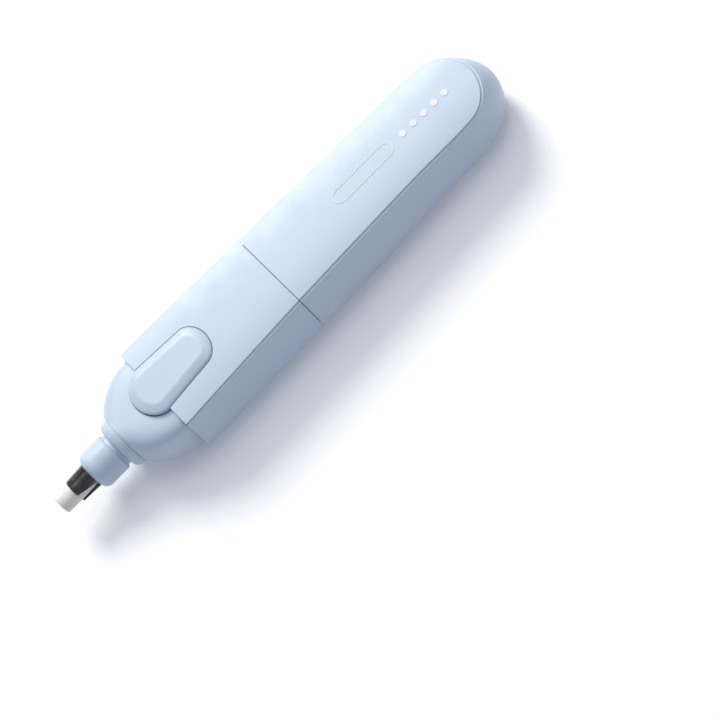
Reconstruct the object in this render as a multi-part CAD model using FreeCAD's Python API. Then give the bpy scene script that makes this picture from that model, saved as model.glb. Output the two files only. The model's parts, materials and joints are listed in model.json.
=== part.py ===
import FreeCAD, Part
import functools
import math
import os

# Battery-powered electric eraser.  Millimetres.  +X runs from the eraser tip to the tail cap,
# +Z is the button side, and the underside rests on Z = 0.

# ---- overall ----
TIP_X = -70.0
TAIL_X = 70.0
AXIS_Z = 9.15            # height of the spindle and motor axis
BARREL_FRONT_X = -36.1
SEAM_X = 1.5             # joint between barrel and tail cap
SEAM_GAP = 0.15

# ---- housing outline ----
OUTLINE_FRONT_X = -45.0  # the outline is drawn past the barrel's front edge, then cut
TURN_X = 57.4            # the tail's rounding begins here
WIDEST_Z = 8.0
WIDEST_HALF = 13.7       # half width at the barrel's front edge
WIDEST_TAPER = 0.00029
CREASE_Z = 16.75
CREASE_HALF = 12.65
CREASE_TAPER = 0.0306
CREASE_TAIL_X = 66.4
CORNER_IN = 5.5          # how far the lower corner tucks in
CORNER_POWER = 2.5
TAIL_TUCK = 8.0
ROOF_Z = 17.7            # highest point of the top panel
ROOF_ARCH = 0.00032
ROOF_ARCH_X = 8.0
ROOF_CROWN = 0.75
BARREL_WALL = 1.3
CAP_WALL = 1.2
PANEL_IN = 0.45          # the top panel ends this far inside the crease
STEP_DEPTH = 0.35        # and stands this far above the rim round it
SPIGOT_END_X = 5.5       # the barrel's lip inside the tail cap
SPIGOT_OUT = 1.42
SPIGOT_IN = 2.27

# ---- nose ----
LIP_FRONT_X = -51.4
LIP_BACK_X = -48.9
LIP_RADIUS = 6.85
NOSE_HALF = 12.2
NOSE_RISE = 7.4
NOSE_WALL = 1.4
NOSE_POWER = 5.0
NOSE_MID_Z = 8.75
NOSE_BACK_X = -35.5
SKIRT_BACK_X = -32.5

# ---- button ----
BUTTON_FRONT_X = -41.6
BUTTON_BACK_X = -18.8
BUTTON_WIDE_X = -36.1
BUTTON_NARROW_X = -22.9
BUTTON_WIDE_HALF = 6.5
BUTTON_NARROW_HALF = 5.5
BUTTON_SEAM = 0.22
BUTTON_TOP_Z = 18.1
BUTTON_SKIRT_Z = 14.75
BUTTON_TILT = 1.6        # degrees, the front end sits lower

# ---- spindle and tip ----
REFILL_RADIUS = 2.5
REFILL_BACK_X = -44.0
COLLET_FRONT_X = -65.6
COLLET_BORE = 2.55
SLEEVE_FRONT_X = -60.15
SLEEVE_BACK_X = -50.8
SLEEVE_RADIUS = 5.0
NECK_FRONT_X = -52.5     # a narrower neck joins the sleeve to the lip's recess
NECK_RADIUS = 4.4
SPINDLE_FRONT_X = -57.0
SPINDLE_BACK_X = -31.0
SPINDLE_RADIUS = 3.5
SPINDLE_BORE = 2.75
BUSHING_RADIUS = 4.5
RUNNING_GAP = 0.05

# ---- motor ----
CAN_FRONT_X = -19.5
CAN_BACK_X = -1.5
CAN_RADIUS = 7.75
CAN_HALF_FLAT = 6.0
CAN_WALL = 0.7
SHAFT_RADIUS = 0.75

BRUSH_Y = 1.7

# ---- frame and switch ----
FLANGE_FRONT_X = -32.4
FLANGE_BACK_X = -30.8
SCREW_Y = 9.6
SCREW_Z = 5.0
SCREW_SHANK = 0.9
CRADLE_TOP_Z = 8.6
DECK_Z = 13.2
DECK = 0.4
LEAF_ROOT_X = -33.4
LEAF_Z = 15.0
LEAF = 0.2
LEAD = 0.45              # radius of an insulated lead

# ---- cells ----
CELL_RADIUS = 5.1
CELL_BODY = 43.7
CELL_NUB = 0.8
CELL_Y = 5.12
CELL_Z = 8.0
JACKET = 0.15
PARTITION_FRONT_X = 1.8
PARTITION_BACK_X = 3.2
PLATE = 0.3
REAR_PLATE_X = PARTITION_BACK_X + PLATE + 3.0 + CELL_BODY + CELL_NUB
TRAY_BACK_X = REAR_PLATE_X + PLATE + 1.5
TRAY_GAP = 0.3


# ---- small builders ----
def block(x0, x1, y0, y1, z0, z1):
    return Part.makeBox(x1 - x0, y1 - y0, z1 - z0, FreeCAD.Vector(x0, y0, z0))


def rod(x0, x1, radius, y=0.0, z=AXIS_Z):
    return Part.makeCylinder(radius, x1 - x0, FreeCAD.Vector(x0, y, z), FreeCAD.Vector(1, 0, 0))


def tube(x0, x1, outer, inner, y=0.0, z=AXIS_Z):
    return rod(x0, x1, outer, y, z).cut(rod(x0 - 1, x1 + 1, inner, y, z))


def turned(profile):
    """Solid of revolution about the spindle axis from (x, radius) corners."""
    points = [FreeCAD.Vector(x, 0, AXIS_Z + radius) for x, radius in profile]
    face = Part.Face(Part.makePolygon(points + points[:1]))
    return face.revolve(FreeCAD.Vector(0, 0, AXIS_Z), FreeCAD.Vector(1, 0, 0), 360)


def turn_about_axis(shape, degrees):
    copy = shape.copy()
    copy.rotate(FreeCAD.Vector(0, 0, AXIS_Z), FreeCAD.Vector(1, 0, 0), degrees)
    return copy


def spline(points):
    curve = Part.BSplineCurve()
    curve.interpolate(points)
    return curve.toShape()


def pipe(points, radius):
    """Round wire of the given radius along a smooth line."""
    line = spline([FreeCAD.Vector(*p) for p in points])
    start = line.valueAt(line.FirstParameter)
    heading = line.tangentAt(line.FirstParameter)
    ring = Part.Wire(Part.makeCircle(radius, start, heading))
    return Part.Wire(line).makePipeShell([ring], True, True)


def coil(x0, x1, radius_0, radius_1, wire, turns, y, z):
    """Compression spring along X from x0 to x1, tapering from radius_0 to radius_1."""
    steps = turns * 12
    points = []
    for i in range(steps + 1):
        share = i / steps
        angle = 2 * math.pi * turns * share
        radius = radius_0 + (radius_1 - radius_0) * share
        x = x0 + wire + (x1 - x0 - 2 * wire) * share
        points.append((x, y + radius * math.cos(angle), z + radius * math.sin(angle)))
    return pipe(points, wire)


# ---- housing ----
def side_half(x, lean):
    widest = WIDEST_HALF - WIDEST_TAPER * (x - BARREL_FRONT_X) ** 2
    crease = CREASE_HALF - CREASE_TAPER * (x - BARREL_FRONT_X)
    return widest + (crease - widest) * lean


def outline(z, lean, tail_x, inset):
    """Plan outline at height z: straight across the front, tapered sides, round tail."""
    points = []
    for x in (OUTLINE_FRONT_X, -20.0, 5.0, 28.0, 46.0):
        points.append(FreeCAD.Vector(x, side_half(x, lean) - inset, z))
    for step in range(8):
        angle = math.radians(step * 90 / 7)
        x = TURN_X + (tail_x - TURN_X) * math.sin(angle)
        half = (side_half(x, lean) - inset) * math.cos(angle)
        points.append(FreeCAD.Vector(x, half, z))
    points[-1].y = 0
    mirrored = [FreeCAD.Vector(p.x, -p.y, z) for p in reversed(points[:-1])]
    front = Part.makeLine(mirrored[-1], points[0])
    return Part.Wire([spline(points + mirrored), front])


@functools.lru_cache
def side_loft(inset):
    """The housing's side walls from the floor to above the top panel, offset inwards."""
    floor = inset
    corner = CORNER_IN - inset
    rings = []
    for share in (0.0, 0.04, 0.14, 0.3, 0.52, 0.76, 1.0):
        z = floor + (WIDEST_Z - floor) * share
        tuck = 1 - (1 - (1 - share) ** CORNER_POWER) ** (1 / CORNER_POWER)
        tail = TAIL_X - inset - (TAIL_TUCK - inset) * tuck
        rings.append(outline(z, 0.0, tail, inset + corner * tuck))
    for share in (0.33, 0.66, 1.0, 1.2):
        z = WIDEST_Z + (CREASE_Z - WIDEST_Z) * share
        tail = TAIL_X - inset - (TAIL_X - CREASE_TAIL_X) * share ** 2
        rings.append(outline(z, share ** 1.4, tail, inset))
    return Part.makeLoft(rings, True, False)


@functools.lru_cache
def roof(inset):
    """Everything below the crowned and gently arched top panel, lowered by the inset."""
    sections = []
    for x in (-60.0, -25.0, 8.0, 40.0, 75.0):
        top = ROOF_Z - inset - ROOF_ARCH * (x - ROOF_ARCH_X) ** 2
        edge = side_half(x, 1.0)
        points = []
        for step in range(-6, 7):
            y = 3.0 * step
            points.append(FreeCAD.Vector(x, y, top - ROOF_CROWN * abs(y / edge) ** 3))
        low = [FreeCAD.Vector(x, y, -5) for y in (points[-1].y, points[0].y)]
        walls = Part.makePolygon([points[-1], low[0], low[1], points[0]])
        sections.append(Part.Wire([spline(points)] + walls.Edges))
    return Part.makeLoft(sections, True, False)


@functools.lru_cache
def housing(inset):
    return side_loft(inset).common(roof(inset))


def slab(x0, x1):
    return block(x0, x1, -30, 30, -10, 40)


def band(outer_inset, inner_inset, x0, x1, section_x):
    """Straight ring between two offsets of the housing's cross-section at section_x."""
    faces = []
    for inset in (outer_inset, inner_inset):
        wires = housing(inset).slice(FreeCAD.Vector(1, 0, 0), section_x)
        faces.append(Part.Face(wires[0]))
    ring = faces[0].cut(faces[1])
    ring.translate(FreeCAD.Vector(x0 - section_x, 0, 0))
    return ring.extrude(FreeCAD.Vector(x1 - x0, 0, 0)).Solids[0]


def panel_step():
    """What is cut away round the top panel so that the panel stands proud of its rim."""
    outside = block(OUTLINE_FRONT_X, TAIL_X + 5, -20, 20, 10, 25).cut(side_loft(PANEL_IN))
    return outside.cut(roof(STEP_DEPTH))


# ---- button outline, shared with the openings round it ----
def button_outline(z, grow):
    """Tapered outline with two rounded ends, grown outwards by the given amount."""
    wide = BUTTON_WIDE_HALF + grow
    narrow = BUTTON_NARROW_HALF + grow
    front = BUTTON_WIDE_X - BUTTON_FRONT_X + grow
    back = BUTTON_BACK_X - BUTTON_NARROW_X + grow
    front_points = []
    back_points = []
    for step in range(9):
        angle = math.radians(step * 180 / 8)
        front_x = BUTTON_WIDE_X - front * math.sin(angle)
        back_x = BUTTON_NARROW_X + back * math.sin(angle)
        front_points.append(FreeCAD.Vector(front_x, wide * math.cos(angle), z))
        back_points.append(FreeCAD.Vector(back_x, -narrow * math.cos(angle), z))
    near = Part.makeLine(front_points[-1], back_points[0])
    far = Part.makeLine(back_points[-1], front_points[0])
    return Part.Wire([spline(front_points), near, spline(back_points), far])


def button_prism(z0, z1, grow):
    face = Part.Face(button_outline(z0, grow))
    return face.extrude(FreeCAD.Vector(0, 0, z1 - z0))


def make_button():
    """Bevelled cap with a skirt, a retaining rim and the nub that bends the switch leaf."""
    rings = []
    for z, grow in ((16.6, 0.0), (17.3, -0.05), (17.55, -0.45), (17.85, -1.3), (BUTTON_TOP_Z, -2.35)):
        rings.append(button_outline(z, grow))
    cap = Part.makeLoft(rings, True, False)
    cap = cap.fuse(button_prism(BUTTON_SKIRT_Z, 16.6, 0.0))
    cap = cap.cut(button_prism(BUTTON_SKIRT_Z - 1, 16.4, -1.0))
    cap.rotate(FreeCAD.Vector(-30, 0, 17), FreeCAD.Vector(0, 1, 0), -BUTTON_TILT)
    rim = button_prism(BUTTON_SKIRT_Z, 15.2, 0.7).cut(button_prism(14, 16, -1.0))
    rim = rim.common(block(SKIRT_BACK_X + 0.3, -10, -20, 20, 0, 30))
    nub = block(-27.2, -26.2, -1.2, 1.2, LEAF_Z + LEAF + 0.02, 16.9)
    body = cap.fuse([rim, nub])
    return body.cut(block(-20.8, -10, -20, 20, 0, 16.1)).removeSplitter()


# ---- shells ----
def make_front_barrel(outer):
    shell = outer.common(slab(BARREL_FRONT_X, SEAM_X)).cut(housing(BARREL_WALL))
    shell = shell.cut(button_prism(12, 25, BUTTON_SEAM))
    root = band(BARREL_WALL - 0.3, SPIGOT_IN, SEAM_X - 2.5, SEAM_X - 0.2, SPIGOT_END_X)
    lip = band(SPIGOT_OUT, SPIGOT_IN, SEAM_X - 1.0, SPIGOT_END_X, SPIGOT_END_X)
    return shell.fuse(root.fuse(lip))


def make_rear_cap(outer):
    shell = outer.common(slab(SEAM_X + SEAM_GAP, TAIL_X + 5))
    return shell.cut(housing(CAP_WALL))


def nose_section(x, inset):
    """Rounded section of the nose: round at the lip, a soft rectangle at the barrel."""
    along = max(0.0, (BARREL_FRONT_X - x) / (BARREL_FRONT_X - LIP_BACK_X))
    swell = (1 - along ** 2) ** (2 / 3) if along < 1 else 0.0
    half = LIP_RADIUS + (NOSE_HALF - LIP_RADIUS) * swell - inset
    rise = LIP_RADIUS + (NOSE_RISE - LIP_RADIUS) * swell - inset
    middle = AXIS_Z + (NOSE_MID_Z - AXIS_Z) * swell
    power = 2 / (2 + (NOSE_POWER - 2) * swell ** 2)
    points = []
    for step in range(24):
        angle = math.radians(15 * step)
        y = half * math.copysign(abs(math.cos(angle)) ** power, math.cos(angle))
        z = rise * math.copysign(abs(math.sin(angle)) ** power, math.sin(angle))
        points.append(FreeCAD.Vector(x, y, middle + z))
    curve = Part.BSplineCurve()
    curve.interpolate(points, PeriodicFlag=True)
    return Part.Wire(curve.toShape())


def nose_loft(inset, first_x, last_x):
    rings = []
    for along in (1.0, 0.97, 0.88, 0.74, 0.56, 0.36, 0.18, 0.0):
        x = BARREL_FRONT_X - (BARREL_FRONT_X - first_x) * along
        rings.append(nose_section(x, inset))
    rings.append(nose_section(last_x, inset))
    return Part.makeLoft(rings, True, False)


def make_nose():
    """Domed shell with a flared lip, a bushing boss, a skirt inside the barrel and screw posts."""
    lip = turned([
        (LIP_FRONT_X, 0), (LIP_FRONT_X, 5.45), (-51.2, 5.85), (-50.8, 6.2), (-50.3, 6.45),
        (-49.7, 6.62), (-49.1, 6.7), (-48.8, 6.5), (-48.0, 6.5), (-48.0, 0),
    ])
    skirt = band(BARREL_WALL + 0.1, BARREL_WALL + 1.1, NOSE_BACK_X, SKIRT_BACK_X, SKIRT_BACK_X)
    shell = nose_loft(0.0, LIP_BACK_X, NOSE_BACK_X)
    shell = shell.cut(nose_loft(NOSE_WALL, LIP_BACK_X + 2.6, -30.0))
    shell = shell.fuse(lip).fuse(skirt).fuse(rod(-49.5, -43.2, 6.0))
    inside = nose_loft(0.3, LIP_BACK_X, -30.0)
    posts = []
    for side in (-1, 1):
        post = rod(-42.0, FLANGE_FRONT_X, 2.3, side * SCREW_Y, SCREW_Z)
        posts.append(post.common(inside))
    shell = shell.fuse(posts)
    shell = shell.cut(rod(-60, -50.3, NECK_RADIUS + 0.3))
    shell = shell.cut(rod(-50.4, -42.2, BUSHING_RADIUS))
    shell = shell.cut(button_prism(13.2, 25, BUTTON_SEAM))
    for side in (-1, 1):
        shell = shell.cut(rod(-40.0, FLANGE_FRONT_X + 1, SCREW_SHANK, side * SCREW_Y, SCREW_Z))
    return shell


# ---- rotating parts ----
def make_refill():
    body = rod(TIP_X, REFILL_BACK_X, REFILL_RADIUS)
    return body.makeFillet(0.45, [body.Edges[i] for i in (0, 2)])


def make_sleeve():
    profile = [
        (SLEEVE_FRONT_X, 3.3), (SLEEVE_FRONT_X + 0.35, 4.1), (SLEEVE_FRONT_X + 0.85, 4.6),
        (SLEEVE_FRONT_X + 1.45, 4.9), (SLEEVE_FRONT_X + 2.1, SLEEVE_RADIUS),
        (NECK_FRONT_X - 0.3, SLEEVE_RADIUS), (NECK_FRONT_X, SLEEVE_RADIUS - 0.25),
        (NECK_FRONT_X, NECK_RADIUS), (SLEEVE_BACK_X, NECK_RADIUS), (SLEEVE_BACK_X, SPINDLE_RADIUS),
        (SPINDLE_FRONT_X - 0.8, SPINDLE_RADIUS), (SPINDLE_FRONT_X - 0.8, 3.3),
    ]
    return turned(profile)


def make_collet():
    """Split jaws: two narrow slits and two wide gaps that narrow towards the sleeve."""
    body = turned([
        (COLLET_FRONT_X, COLLET_BORE), (COLLET_FRONT_X, 2.8), (COLLET_FRONT_X + 0.3, 3.0),
        (SLEEVE_FRONT_X, 3.3), (SPINDLE_FRONT_X - 0.8, 3.3), (SPINDLE_FRONT_X - 0.8, SPINDLE_RADIUS),
        (SPINDLE_FRONT_X, SPINDLE_RADIUS), (SPINDLE_FRONT_X, COLLET_BORE),
    ])
    slit = block(COLLET_FRONT_X - 1, -59.0, -0.2, 0.2, AXIS_Z, AXIS_Z + 6)
    wide = Part.Face(Part.makePolygon([
        FreeCAD.Vector(COLLET_FRONT_X - 1, -1.75, AXIS_Z), FreeCAD.Vector(-59.5, -0.7, AXIS_Z),
        FreeCAD.Vector(-59.5, 0.7, AXIS_Z), FreeCAD.Vector(COLLET_FRONT_X - 1, 1.75, AXIS_Z),
        FreeCAD.Vector(COLLET_FRONT_X - 1, -1.75, AXIS_Z),
    ])).extrude(FreeCAD.Vector(0, 0, 6))
    for half_turn in (0, 180):
        body = body.cut(turn_about_axis(slit, -7 + half_turn))
        body = body.cut(turn_about_axis(wide, 83 + half_turn))
    return body


def make_coupling():
    return turned([
        (-38.0, 0), (-38.0, SPINDLE_BORE), (SPINDLE_BACK_X, SPINDLE_BORE), (SPINDLE_BACK_X, 3.7),
        (-29.8, 3.7), (-29.8, 2.2), (-22.6, 2.2), (-22.6, SHAFT_RADIUS), (-29.0, SHAFT_RADIUS), (-29.0, 0),
    ])


# ---- motor ----
def can_section(x0, x1, shrink):
    flat = CAN_HALF_FLAT - shrink
    body = rod(x0, x1, CAN_RADIUS - shrink)
    return body.common(block(x0, x1, -20, 20, AXIS_Z - flat, AXIS_Z + flat))


def make_can():
    body = can_section(CAN_FRONT_X, CAN_BACK_X, 0).cut(can_section(CAN_FRONT_X + CAN_WALL, 5, CAN_WALL))
    body = body.fuse(rod(CAN_FRONT_X - 1.4, CAN_FRONT_X + 0.2, 2.5))
    return body.cut(rod(-25, -15, 1.8))


def make_end_bell():
    plug = can_section(CAN_BACK_X - 1.5, CAN_BACK_X, CAN_WALL)
    cover = can_section(CAN_BACK_X, CAN_BACK_X + 1.0, 0)
    hub = rod(CAN_BACK_X, CAN_BACK_X + 1.5, 2.4)
    body = plug.fuse([cover, hub]).cut(rod(-10, 5, 1.5))
    for side in (-1, 1):
        y = side * BRUSH_Y
        body = body.cut(block(-4, 2, y - 0.25, y + 0.25, AXIS_Z - 1.6, AXIS_Z + 1.6))
    return body


def make_magnets():
    ring = tube(-17.5, -4.5, CAN_RADIUS - CAN_WALL, 5.35)
    flat = block(-30, 10, -20, 20, AXIS_Z - 3.6, AXIS_Z + 3.6)
    arcs = ring.common(flat)
    return arcs.Solids


def make_armature():
    stack = rod(-16.0, -6.5, 1.9)
    poles = []
    for third in range(3):
        arm = block(-16.0, -6.5, -0.9, 0.9, AXIS_Z + 1.0, AXIS_Z + 4.4)
        shoe = tube(-16.0, -6.5, 5.0, 4.2)
        shoe = shoe.common(block(-16.0, -6.5, -3.2, 3.2, AXIS_Z + 1, AXIS_Z + 6))
        poles.append(turn_about_axis(arm.fuse(shoe), 120 * third))
    return stack.fuse(poles).cut(rod(-30, 5, SHAFT_RADIUS)).removeSplitter()


def make_windings():
    coils = []
    for third in range(3):
        outer = block(-16.9, -5.6, -1.8, 1.8, AXIS_Z + 2.1, AXIS_Z + 4.05)
        inner = block(-16.0, -6.5, -0.9, 0.9, AXIS_Z, AXIS_Z + 6)
        body = outer.cut(inner).common(rod(-18, -4, 4.15))
        coils.append(turn_about_axis(body, 120 * third))
    return coils


def make_commutator():
    ring = tube(-4.6, -1.9, 1.5, SHAFT_RADIUS)
    for third in range(3):
        slot = block(-5, -1, -0.1, 0.1, AXIS_Z + 1.15, AXIS_Z + 3)
        ring = ring.cut(turn_about_axis(slot, 120 * third + 60))
    return ring


def make_brushes():
    blades = []
    for side in (-1, 1):
        y = side * BRUSH_Y
        blades.append(block(-4.4, CAN_BACK_X - 1.5, y - 0.15, y + 0.15, AXIS_Z - 1.2, AXIS_Z + 1.2))
    return blades


def make_terminals():
    tabs = []
    for side in (-1, 1):
        y = side * BRUSH_Y
        tab = block(CAN_BACK_X - 1.5, CAN_BACK_X + 2.2, y - 0.15, y + 0.15, AXIS_Z - 1.2, AXIS_Z + 1.2)
        tabs.append(tab)
    return tabs


# ---- chassis and switch ----
def make_chassis():
    """Lower frame: flange to the nose, motor cradle, partition and battery tray."""
    body = housing(CAP_WALL + TRAY_GAP).common(slab(FLANGE_FRONT_X, TRAY_BACK_X))
    body = body.common(block(-60, 60, -20, 20, 0, 12.6))
    body = body.cut(block(-60, PARTITION_FRONT_X, -20, 20, CRADLE_TOP_Z, 20))
    body = body.cut(block(FLANGE_BACK_X, PARTITION_FRONT_X, 9.0, 20, -5, 20))
    body = body.cut(block(FLANGE_BACK_X, PARTITION_FRONT_X, -20, -9.0, -5, 20))
    body = body.cut(block(PARTITION_BACK_X, TRAY_BACK_X - 1.5, -20, 20, 8.0, 20))
    body = body.cut(rod(-60, FLANGE_BACK_X + 12.4, 5.2))
    body = body.cut(block(-60, -18.4, -5.2, 5.2, AXIS_Z, 20))
    body = body.cut(block(-20.9, 0.3, -CAN_RADIUS - 0.1, CAN_RADIUS + 0.1, AXIS_Z - CAN_HALF_FLAT, 20))
    body = body.cut(block(-22.3, -18.4, -3.0, 3.0, AXIS_Z - 3, 20))
    body = body.cut(block(0.2, PARTITION_FRONT_X, -2.4, 2.4, AXIS_Z - 1.8, 20))
    for side in (-1, 1):
        y = side * CELL_Y
        body = body.cut(rod(PARTITION_BACK_X, REAR_PLATE_X + PLATE, CELL_RADIUS + 0.1, y, CELL_Z))
        body = body.cut(block(8, 46, y - 2.2, y + 2.2, -5, 5))
        body = body.cut(rod(-40, -29, SCREW_SHANK + 0.2, side * SCREW_Y, SCREW_Z))
        body = body.cut(rod(FLANGE_BACK_X, FLANGE_BACK_X + 2.0, 2.0, side * SCREW_Y, SCREW_Z))
    body = body.cut(block(PARTITION_BACK_X, PARTITION_BACK_X + PLATE, -9.4, 9.4, 3.0, 20))
    body = body.cut(block(REAR_PLATE_X, REAR_PLATE_X + PLATE, -9.4, 9.4, 3.0, 20))
    body = body.cut(band(CAP_WALL, SPIGOT_IN + 0.1, SEAM_X - 2.7, SPIGOT_END_X + 0.2, SPIGOT_END_X))
    feet = []
    for x in (-28.0, -12.0):
        feet.append(block(x, x + 4, -4, 4, BARREL_WALL, CAP_WALL + TRAY_GAP + 0.3))
    return body.fuse(feet).removeSplitter()


def make_bridge():
    """Upper frame: straps the motor down and carries the two switch contacts."""
    strap_z = AXIS_Z + CAN_HALF_FLAT
    deck = block(-28.0, -20.9, -5.0, 5.0, DECK_Z, DECK_Z + DECK)
    tongue = block(-35.0, -28.0, -3.2, 3.2, DECK_Z, DECK_Z + DECK)
    post = block(-35.0, LEAF_ROOT_X, -2.0, 2.0, DECK_Z, LEAF_Z)
    strap = block(-17.4, -14.0, -8.9, 8.9, strap_z, strap_z + DECK)
    pieces = [tongue, post, strap]
    for side in (-1, 1):
        low, high = sorted((side * 4.5, side * 8.9))
        pieces.append(block(-27.0, -21.6, low, high, DECK_Z, DECK_Z + DECK))
        low, high = sorted((side * 6.7, side * 8.9))
        pieces.append(block(-27.0, -21.6, low, high, CRADLE_TOP_Z, DECK_Z + DECK))
        pieces.append(block(-21.6, -14.0, low, high, DECK_Z + 0.1, DECK_Z + DECK))
        pieces.append(block(-17.4, -14.0, low, high, DECK_Z + 0.1, strap_z + DECK))
    frame = deck.fuse(pieces).removeSplitter()
    frame = frame.cut(leaf_root(0.3, 1.7))
    return frame.cut(block(-26.1, -24.5, 4.9, 5.25, 12, 14))


def leaf_root(radius, half_width):
    """Round bar across the eraser on the line the leaf bends about."""
    start = FreeCAD.Vector(LEAF_ROOT_X, -half_width, LEAF_Z + LEAF / 2)
    return Part.makeCylinder(radius, 2 * half_width, start, FreeCAD.Vector(0, 1, 0))


def make_leaf():
    blade = block(LEAF_ROOT_X - 0.6, -24.6, -1.5, 1.5, LEAF_Z, LEAF_Z + LEAF)
    return blade.fuse(leaf_root(0.25, 1.5))


def make_fixed_contact():
    """Strip across the deck, folded down over its edge where the red lead is soldered."""
    top = DECK_Z + DECK
    strip = block(-26.0, -24.6, -1.5, 5.15, top, top + 0.15)
    fold = block(-26.0, -24.6, 5.0, 5.15, 12.5, top + 0.15)
    return strip.fuse(fold).removeSplitter()


# ---- cells and contacts ----
def cell_spans():
    """Start of each cell's body and the direction its plus end points, for the two sides."""
    front = PARTITION_BACK_X + PLATE
    return ((1, front + CELL_NUB, -1), (-1, front + 3.0, 1))


def make_cell_cans():
    cans = []
    for side, start, plus in cell_spans():
        y = side * CELL_Y
        can = rod(start, start + CELL_BODY, CELL_RADIUS - JACKET, y, CELL_Z)
        if plus < 0:
            nub = rod(start - CELL_NUB, start + 0.5, 1.9, y, CELL_Z)
        else:
            nub = rod(start + CELL_BODY - 0.5, start + CELL_BODY + CELL_NUB, 1.9, y, CELL_Z)
        cans.append(can.fuse(nub).removeSplitter())
    return cans


def make_cell_jackets():
    jackets = []
    for side, start, plus in cell_spans():
        y = side * CELL_Y
        end = start + CELL_BODY - 0.4
        jackets.append(tube(start + 0.4, end, CELL_RADIUS, CELL_RADIUS - JACKET, y, CELL_Z))
    return jackets


def front_plate(side):
    """Contact plate on the partition with a tab folded over its top edge."""
    low, high = sorted((side * 1.0, side * 9.0))
    plate = block(PARTITION_BACK_X, PARTITION_BACK_X + PLATE, low, high, 4.2, 12.6 + PLATE)
    low, high = sorted((side * 6.0, side * 8.6))
    tab = block(0.4, PARTITION_BACK_X + PLATE, low, high, 12.6, 12.6 + PLATE)
    return plate.fuse(tab).removeSplitter()


def make_rear_plate():
    return block(REAR_PLATE_X, REAR_PLATE_X + PLATE, -9.0, 9.0, 4.2, 12.0)


def make_screws():
    screws = []
    for side in (-1, 1):
        y = side * SCREW_Y
        shank = rod(-39.0, FLANGE_BACK_X, SCREW_SHANK, y, SCREW_Z)
        head = rod(FLANGE_BACK_X, FLANGE_BACK_X + 1.2, 1.7, y, SCREW_Z)
        slot_x = FLANGE_BACK_X + 0.7
        cross = block(slot_x, slot_x + 1, y - 1.0, y + 1.0, SCREW_Z - 0.2, SCREW_Z + 0.2)
        cross = cross.fuse(block(slot_x, slot_x + 1, y - 0.2, y + 0.2, SCREW_Z - 1.0, SCREW_Z + 1.0))
        screws.append(shank.fuse(head).cut(cross))
    return screws


# ---- leads ----
def make_leads():
    red = [(1.4, 7.3, 13.4), (-0.2, 8.0, 13.5), (-1.9, 9.3, 12.6), (-5.0, 10.2, 11.6),
           (-20.0, 10.2, 11.4), (-26.0, 9.9, 11.7), (-28.6, 8.2, 12.1), (-28.0, 6.4, 12.5),
           (-26.2, 5.63, 12.7)]
    yellow = [(0.4, -1.7, 10.82), (1.0, -4.5, 11.2), (0.4, -8.3, 10.6), (-3.0, -10.0, 10.4),
              (-14.0, -10.2, 10.6), (-24.0, -10.0, 11.0), (-27.2, -9.8, 11.4), (-29.6, -8.3, 11.9),
              (-31.5, -5.8, 12.6), (-32.9, -4.3, 13.2), (-34.0, -3.75, 13.9), (-34.3, -2.48, 14.3)]
    black = [(0.9, -7.3, 13.37), (0.9, -3.0, 13.9), (0.8, 1.2, 12.6), (0.4, 1.7, 10.82)]
    return {"lead_red": pipe(red, LEAD), "lead_yellow": pipe(yellow, LEAD), "lead_black": pipe(black, LEAD)}


def build():
    outer = housing(0.0).cut(panel_step())
    spring_x = PARTITION_BACK_X + PLATE
    rear_x = spring_x + CELL_NUB + CELL_BODY
    shapes = {
        "front_barrel": make_front_barrel(outer),
        "rear_cap": make_rear_cap(outer),
        "nose_cone": make_nose(),
        "power_button": make_button(),
        "tip_sleeve": make_sleeve(),
        "collet_chuck": make_collet(),
        "eraser_refill": make_refill(),
        "spindle_tube": tube(SPINDLE_FRONT_X, SPINDLE_BACK_X, SPINDLE_RADIUS, SPINDLE_BORE),
        "spindle_bushing": tube(-50.2, -43.4, BUSHING_RADIUS, SPINDLE_RADIUS + RUNNING_GAP),
        "shaft_coupling": make_coupling(),
        "motor_can": make_can(),
        "motor_end_bell": make_end_bell(),
        "motor_magnets": make_magnets(),
        "motor_bushings": [
            tube(-20.9, -18.3, 1.8, SHAFT_RADIUS + RUNNING_GAP),
            tube(-1.75, 0.0, 1.5, SHAFT_RADIUS + RUNNING_GAP),
        ],
        "motor_shaft": rod(-28.5, 0.4, SHAFT_RADIUS),
        "armature_core": make_armature(),
        "armature_windings": make_windings(),
        "commutator": make_commutator(),
        "motor_brushes": make_brushes(),
        "motor_terminals": make_terminals(),
        "chassis": make_chassis(),
        "switch_bridge": make_bridge(),
        "switch_leaf": make_leaf(),
        "switch_fixed_contact": make_fixed_contact(),
        "battery_cell_cans": make_cell_cans(),
        "battery_cell_jackets": make_cell_jackets(),
        "contact_plate_plus": front_plate(1),
        "contact_plate_minus": front_plate(-1),
        "contact_spring_minus": coil(spring_x, spring_x + 3.0, 3.4, 2.0, 0.25, 3, -CELL_Y, CELL_Z),
        "contact_plate_rear": make_rear_plate(),
        "contact_spring_rear": coil(rear_x, REAR_PLATE_X, 2.0, 3.4, 0.25, 3, CELL_Y, CELL_Z),
        "frame_screws": make_screws(),
    }
    shapes.update(make_leads())
    return shapes


def main():
    os.makedirs("parts", exist_ok=True)
    for name, shape in build().items():
        solids = shape if isinstance(shape, list) else shape.Solids
        whole = solids[0] if len(solids) == 1 else Part.makeCompound(solids)
        whole.exportStep("parts/" + name + ".step")
        print(name, len(solids), whole.isValid(), round(whole.Volume, 2))


main()
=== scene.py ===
import json
import math

import bpy
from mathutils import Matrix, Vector
from mathutils.bvhtree import BVHTree


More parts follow.
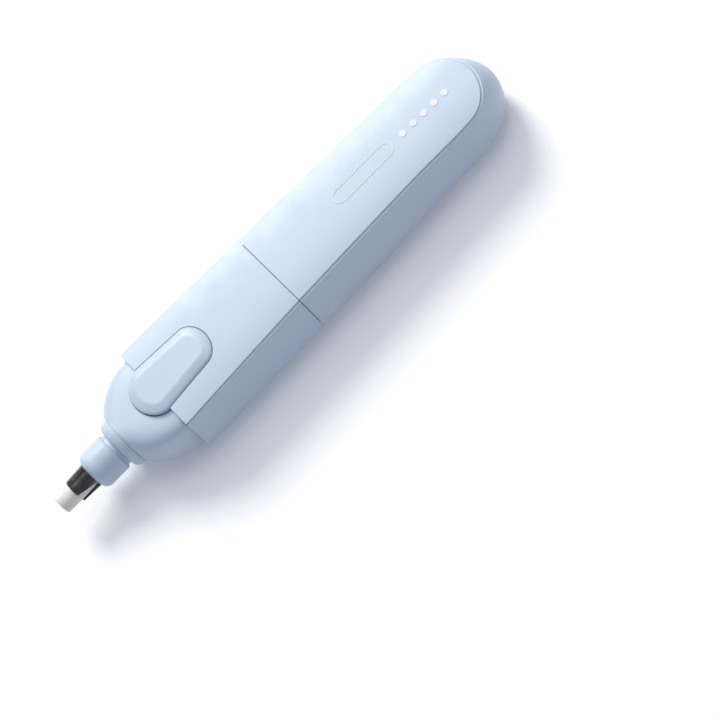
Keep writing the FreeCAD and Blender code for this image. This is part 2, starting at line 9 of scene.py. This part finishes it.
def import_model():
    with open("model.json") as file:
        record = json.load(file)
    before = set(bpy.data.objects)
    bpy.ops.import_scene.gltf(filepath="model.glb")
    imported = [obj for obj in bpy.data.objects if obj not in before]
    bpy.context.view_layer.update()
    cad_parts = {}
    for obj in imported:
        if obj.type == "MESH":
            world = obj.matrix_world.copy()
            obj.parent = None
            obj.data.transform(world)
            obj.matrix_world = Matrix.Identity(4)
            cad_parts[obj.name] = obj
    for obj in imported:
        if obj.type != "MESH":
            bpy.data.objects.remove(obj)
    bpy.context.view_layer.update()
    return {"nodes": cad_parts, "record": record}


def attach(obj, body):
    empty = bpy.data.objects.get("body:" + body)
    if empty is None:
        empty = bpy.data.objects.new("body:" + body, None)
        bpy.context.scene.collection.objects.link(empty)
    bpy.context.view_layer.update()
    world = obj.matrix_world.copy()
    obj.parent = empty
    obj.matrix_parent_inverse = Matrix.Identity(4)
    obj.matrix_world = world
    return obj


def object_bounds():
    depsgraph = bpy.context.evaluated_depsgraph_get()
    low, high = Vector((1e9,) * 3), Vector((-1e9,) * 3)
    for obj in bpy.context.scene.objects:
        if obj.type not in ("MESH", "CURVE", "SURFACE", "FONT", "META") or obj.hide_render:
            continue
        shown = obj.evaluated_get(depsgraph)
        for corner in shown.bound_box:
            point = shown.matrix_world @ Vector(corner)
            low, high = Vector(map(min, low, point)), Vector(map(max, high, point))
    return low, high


# ---- camera; lengths in metres, angles in degrees ----
CAMERA_ELEVATION = 61.0       # above the horizon, looking along +Y
CAMERA_ROLL = 45.5            # the tail points up and to the right by this angle
CAMERA_LENS = 150.0
SENSOR = 36.0
FRAME_WIDTH = 0.1647          # width of the view where the eraser lies
FRAME_SHIFT = (0.117, -0.101)
AXIS_HEIGHT = 0.00915         # the spindle's axis, which the camera looks at

# ---- light and floor ----
LIGHT_TARGET = (0.0, 0.0, 0.01)
FLOOR_HALF = 1.6
FLOOR_GAP = 0.00002           # the floor lies this far under the lowest piece
FLOOR_GLOW = 0.1

# ---- softened edges ----
SHELL_EDGE = 0.00022
FINE_EDGE = 0.0001
ERASER_EDGE = 0.0002

# ---- printed marks ----
PRINT_LIFT = 0.00008          # they stand this far off the shell
PRINT_STRETCH = 0.0006        # longest straight stretch, so that they follow the crowned panel
PILL_STEPS = 16               # steps round each end of the pill
DOT_SIDES = 28
PILL_X = (0.0232, 0.0414)
PILL_HALF = 0.0019
PILL_LINE = 0.00022
DOT_X = (0.0450, 0.0483, 0.0516, 0.0549, 0.0582)
DOT_RADIUS = 0.0009


# ---- node material helpers ----
def new_material(name):
    material = bpy.data.materials.new(name)
    material.use_nodes = True
    nodes = material.node_tree.nodes
    nodes.clear()
    output = nodes.new("ShaderNodeOutputMaterial")
    surface = nodes.new("ShaderNodeBsdfPrincipled")
    material.node_tree.links.new(surface.outputs["BSDF"], output.inputs["Surface"])
    return material, surface


def noise(material, scale, detail, roughness=0.55):
    """Noise in object space; the scale is cycles per metre."""
    nodes = material.node_tree.nodes
    place = nodes.new("ShaderNodeTexCoord")
    texture = nodes.new("ShaderNodeTexNoise")
    texture.inputs["Scale"].default_value = scale
    texture.inputs["Detail"].default_value = detail
    texture.inputs["Roughness"].default_value = roughness
    material.node_tree.links.new(place.outputs["Object"], texture.inputs["Vector"])
    return texture


def mixed(material, texture, socket, low, high, start=0.3, stop=0.7):
    """Drives a number socket from low to high by the texture."""
    spread = material.node_tree.nodes.new("ShaderNodeMapRange")
    spread.inputs["From Min"].default_value = start
    spread.inputs["From Max"].default_value = stop
    spread.inputs["To Min"].default_value = low
    spread.inputs["To Max"].default_value = high
    material.node_tree.links.new(texture.outputs["Fac"], spread.inputs["Value"])
    material.node_tree.links.new(spread.outputs["Result"], socket)


def coloured(material, texture, socket, dark, light, start=0.3, stop=0.7):
    """Drives a colour socket between two colours by the texture."""
    ramp = material.node_tree.nodes.new("ShaderNodeValToRGB")
    ramp.color_ramp.elements[0].position = start
    ramp.color_ramp.elements[1].position = stop
    ramp.color_ramp.elements[0].color = (*dark, 1)
    ramp.color_ramp.elements[1].color = (*light, 1)
    material.node_tree.links.new(texture.outputs["Fac"], ramp.inputs["Fac"])
    material.node_tree.links.new(ramp.outputs["Color"], socket)


def grain(material, surface, texture, height, edge_radius=0.0):
    """Fine surface grain, on edges softened by the given radius."""
    nodes = material.node_tree.nodes
    links = material.node_tree.links
    bump = nodes.new("ShaderNodeBump")
    bump.inputs["Distance"].default_value = height
    bump.inputs["Strength"].default_value = 1.0
    links.new(texture.outputs["Fac"], bump.inputs["Height"])
    links.new(bump.outputs["Normal"], surface.inputs["Normal"])
    if edge_radius > 0:
        soft = nodes.new("ShaderNodeBevel")
        soft.samples = 6
        soft.inputs["Radius"].default_value = edge_radius
        links.new(soft.outputs["Normal"], bump.inputs["Normal"])


def plastic(name, dark, light, roughness, edge_radius=0.0, depth=0.0):
    material, surface = new_material(name)
    coloured(material, noise(material, 35, 3), surface.inputs["Base Color"], dark, light)
    mixed(material, noise(material, 220, 4), surface.inputs["Roughness"], roughness - 0.04, roughness + 0.05)
    surface.inputs["IOR"].default_value = 1.49
    surface.inputs["Subsurface Weight"].default_value = depth
    surface.inputs["Subsurface Scale"].default_value = 0.0008
    grain(material, surface, noise(material, 5200, 2), 0.000004, edge_radius)
    return material


def metal(name, dark, light, roughness, edge_radius=0.0):
    material, surface = new_material(name)
    surface.inputs["Metallic"].default_value = 1.0
    coloured(material, noise(material, 260, 4), surface.inputs["Base Color"], dark, light)
    mixed(material, noise(material, 900, 5), surface.inputs["Roughness"], roughness, roughness + 0.14)
    grain(material, surface, noise(material, 3800, 3), 0.0000004, edge_radius)
    return material


def vinyl():
    """Eraser rod: off-white, dull, with faint specks and a slightly uneven skin."""
    material, surface = new_material("vinyl")
    coloured(material, noise(material, 700, 5), surface.inputs["Base Color"],
             (0.70, 0.67, 0.60), (0.80, 0.78, 0.72))
    mixed(material, noise(material, 1500, 3), surface.inputs["Roughness"], 0.62, 0.8)
    surface.inputs["Subsurface Weight"].default_value = 0.25
    surface.inputs["Subsurface Scale"].default_value = 0.001
    grain(material, surface, noise(material, 2600, 4), 0.00002, ERASER_EDGE)
    return material


def make_materials():
    return {
        "shell_blue": plastic("shell_blue", (0.485, 0.585, 0.685), (0.495, 0.595, 0.695), 0.41,
                              SHELL_EDGE, 0.06),
        "eraser": vinyl(),
        "nickel": metal("nickel", (0.48, 0.46, 0.42), (0.60, 0.58, 0.54), 0.2),
        # The collet's darkened base colour is a painted reflection: it stands in for the dark surroundings
        # that its polished jaws reflect.
        "collet_painted_dark_reflection": metal("collet_painted_dark_reflection", (0.10, 0.094, 0.082), (0.17, 0.16, 0.14), 0.12, FINE_EDGE),
        "steel": metal("steel", (0.42, 0.42, 0.43), (0.58, 0.58, 0.58), 0.26),
        "zinc": metal("zinc", (0.50, 0.51, 0.53), (0.66, 0.67, 0.68), 0.32),
        "bronze": metal("bronze", (0.42, 0.27, 0.12), (0.56, 0.38, 0.18), 0.42),
        "copper": metal("copper", (0.55, 0.24, 0.11), (0.74, 0.36, 0.19), 0.28),
        "ferrite": plastic("ferrite", (0.030, 0.030, 0.034), (0.05, 0.05, 0.054), 0.7),
        "white_plastic": plastic("white_plastic", (0.68, 0.68, 0.65), (0.74, 0.74, 0.71), 0.45, FINE_EDGE),
        "black_plastic": plastic("black_plastic", (0.016, 0.016, 0.017), (0.026, 0.026, 0.027), 0.5),
        "cell_jacket": plastic("cell_jacket", (0.02, 0.09, 0.055), (0.03, 0.12, 0.07), 0.28),
        "red_pvc": plastic("red_pvc", (0.42, 0.016, 0.012), (0.50, 0.022, 0.016), 0.38),
        "yellow_pvc": plastic("yellow_pvc", (0.60, 0.36, 0.02), (0.68, 0.43, 0.03), 0.38),
        "black_pvc": plastic("black_pvc", (0.014, 0.014, 0.014), (0.022, 0.022, 0.022), 0.4),
    }


def dress(frame, materials):
    """Gives every CAD node its material; the collet gets a darker metal than the other nickel pieces, a
    painted reflection that stands in for the dark surroundings its polished jaws reflect.
    """
    slots = {entry["node"]: entry["material_slot"] for entry in frame["record"]["subparts"]}
    slots["collet_chuck"] = "collet_painted_dark_reflection"
    for name, piece in frame["nodes"].items():
        mesh = piece.data
        mesh.materials.clear()
        mesh.materials.append(materials[slots[name]])


# ---- printed marks on the tail cap ----
def print_material():
    material, surface = new_material("silver_print")
    coloured(material, noise(material, 900, 3), surface.inputs["Base Color"],
             (0.64, 0.67, 0.70), (0.69, 0.72, 0.75))
    mixed(material, noise(material, 1400, 3), surface.inputs["Roughness"], 0.32, 0.42)
    grain(material, surface, noise(material, 4200, 2), 0.000003)
    return material


def pill_path(inset):
    """Points round a plain pill shape, shrunk by the inset."""
    radius = PILL_HALF - inset
    points = []
    for centre, turn in ((PILL_X[1] - PILL_HALF, -90), (PILL_X[0] + PILL_HALF, 90)):
        for step in range(PILL_STEPS + 1):
            angle = math.radians(turn + 180 * step / PILL_STEPS)
            points.append((centre + radius * math.cos(angle), radius * math.sin(angle)))
    return points


def divided(points, longest):
    """The same closed line with long stretches split, so that it follows a curved surface."""
    result = []
    for start, end in zip(points, points[1:] + points[:1]):
        length = math.dist(start, end)
        count = max(1, math.ceil(length / longest))
        for i in range(count):
            share = i / count
            result.append((start[0] + (end[0] - start[0]) * share, start[1] + (end[1] - start[1]) * share))
    return result


def on_shell(tree, x, y):
    """The point of the shell straight under (x, y), lifted by the print's height."""
    hit = tree.ray_cast(Vector((x, y, 0.05)), Vector((0, 0, -1)))[0]
    return Vector((x, y, hit.z + PRINT_LIFT))


def printed_piece(name, vertices, faces, material):
    mesh = bpy.data.meshes.new(name)
    mesh.from_pydata(vertices, [], faces)
    mesh.materials.append(material)
    piece = bpy.data.objects.new(name, mesh)
    bpy.context.scene.collection.objects.link(piece)
    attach(piece, "tail_cap")
    return piece


def make_prints(frame):
    """A plain pill outline and a row of dots on the tail cap's panel, with no lettering."""
    cap = frame["nodes"]["rear_cap"]
    tree = BVHTree.FromObject(cap, bpy.context.evaluated_depsgraph_get())
    material = print_material()
    outer = divided(pill_path(0), PRINT_STRETCH)
    inner = divided(pill_path(PILL_LINE), PRINT_STRETCH)
    count = min(len(outer), len(inner))
    vertices = [on_shell(tree, *p) for p in outer[:count]] + [on_shell(tree, *p) for p in inner[:count]]
    faces = []
    for i in range(count):
        after = (i + 1) % count
        faces.append((i, after, count + after, count + i))
    printed_piece("print_pill", vertices, faces, material)
    vertices = []
    faces = []
    for x in DOT_X:
        first = len(vertices)
        for step in range(DOT_SIDES):
            angle = math.radians(step * 360 / DOT_SIDES)
            vertices.append(on_shell(tree, x + DOT_RADIUS * math.cos(angle), DOT_RADIUS * math.sin(angle)))
        faces.append(tuple(range(first, first + DOT_SIDES)))
    printed_piece("print_dots", vertices, faces, material)


# ---- floor, light and camera ----
def make_floor():
    """White studio table, faintly lit from below so that shadows on it stay light."""
    corners = [(x * FLOOR_HALF, y * FLOOR_HALF, 0) for x, y in ((-1, -1), (1, -1), (1, 1), (-1, 1))]
    mesh = bpy.data.meshes.new("floor")
    mesh.from_pydata(corners, [], [(0, 1, 2, 3)])
    material, surface = new_material("floor_paper")
    coloured(material, noise(material, 3, 2), surface.inputs["Base Color"],
             (0.93, 0.93, 0.93), (0.95, 0.95, 0.95))
    mixed(material, noise(material, 60, 2), surface.inputs["Roughness"], 0.85, 0.95)
    surface.inputs["Specular IOR Level"].default_value = 0.1
    surface.inputs["Emission Color"].default_value = (1.0, 1.0, 1.0, 1)
    surface.inputs["Emission Strength"].default_value = FLOOR_GLOW
    mesh.materials.append(material)
    floor = bpy.data.objects.new("floor", mesh)
    floor.location.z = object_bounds()[0][2] - FLOOR_GAP
    bpy.context.scene.collection.objects.link(floor)


def area_light(name, position, size, power, colour):
    light = bpy.data.lights.new(name, "AREA")
    light.shape = "DISK"
    light.size = size
    light.energy = power
    light.color = colour
    holder = bpy.data.objects.new(name, light)
    holder.location = position
    holder.rotation_euler = (Vector(LIGHT_TARGET) - Vector(position)).to_track_quat("-Z", "Y").to_euler()
    bpy.context.scene.collection.objects.link(holder)


def make_lights():
    area_light("key", (0.1, 0.84, 0.75), 0.6, 12.0, (1.0, 0.985, 0.93))
    area_light("top", (0.2, 0.3, 1.3), 1.0, 5.0, (1.0, 0.99, 0.97))
    world = bpy.data.worlds.new("studio")
    world.use_nodes = True
    background = world.node_tree.nodes["Background"]
    background.inputs["Color"].default_value = (0.74, 0.77, 1.0, 1)
    background.inputs["Strength"].default_value = 0.38
    bpy.context.scene.world = world


def make_camera():
    elevation = math.radians(CAMERA_ELEVATION)
    roll = math.radians(CAMERA_ROLL)
    target = Vector((0, 0, AXIS_HEIGHT))
    distance = FRAME_WIDTH * CAMERA_LENS / SENSOR
    toward = Vector((0, -math.cos(elevation), math.sin(elevation)))
    right = Vector((1, 0, 0))
    up = Vector((0, math.sin(elevation), math.cos(elevation)))
    rolled_right = right * math.cos(roll) - up * math.sin(roll)
    rolled_up = right * math.sin(roll) + up * math.cos(roll)
    data = bpy.data.cameras.new("camera")
    data.lens = CAMERA_LENS
    data.sensor_width = SENSOR
    data.shift_x, data.shift_y = FRAME_SHIFT
    data.clip_start = 0.01
    camera = bpy.data.objects.new("camera", data)
    matrix = camera.matrix_world.to_3x3()
    matrix.col[0] = rolled_right
    matrix.col[1] = rolled_up
    matrix.col[2] = toward
    camera.matrix_world = matrix.to_4x4()
    camera.location = target + toward * distance
    bpy.context.scene.collection.objects.link(camera)
    bpy.context.scene.camera = camera


def main():
    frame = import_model()
    dress(frame, make_materials())
    make_prints(frame)
    make_floor()
    make_lights()
    make_camera()
    scene = bpy.context.scene
    scene.view_settings.view_transform = "Standard"


main()
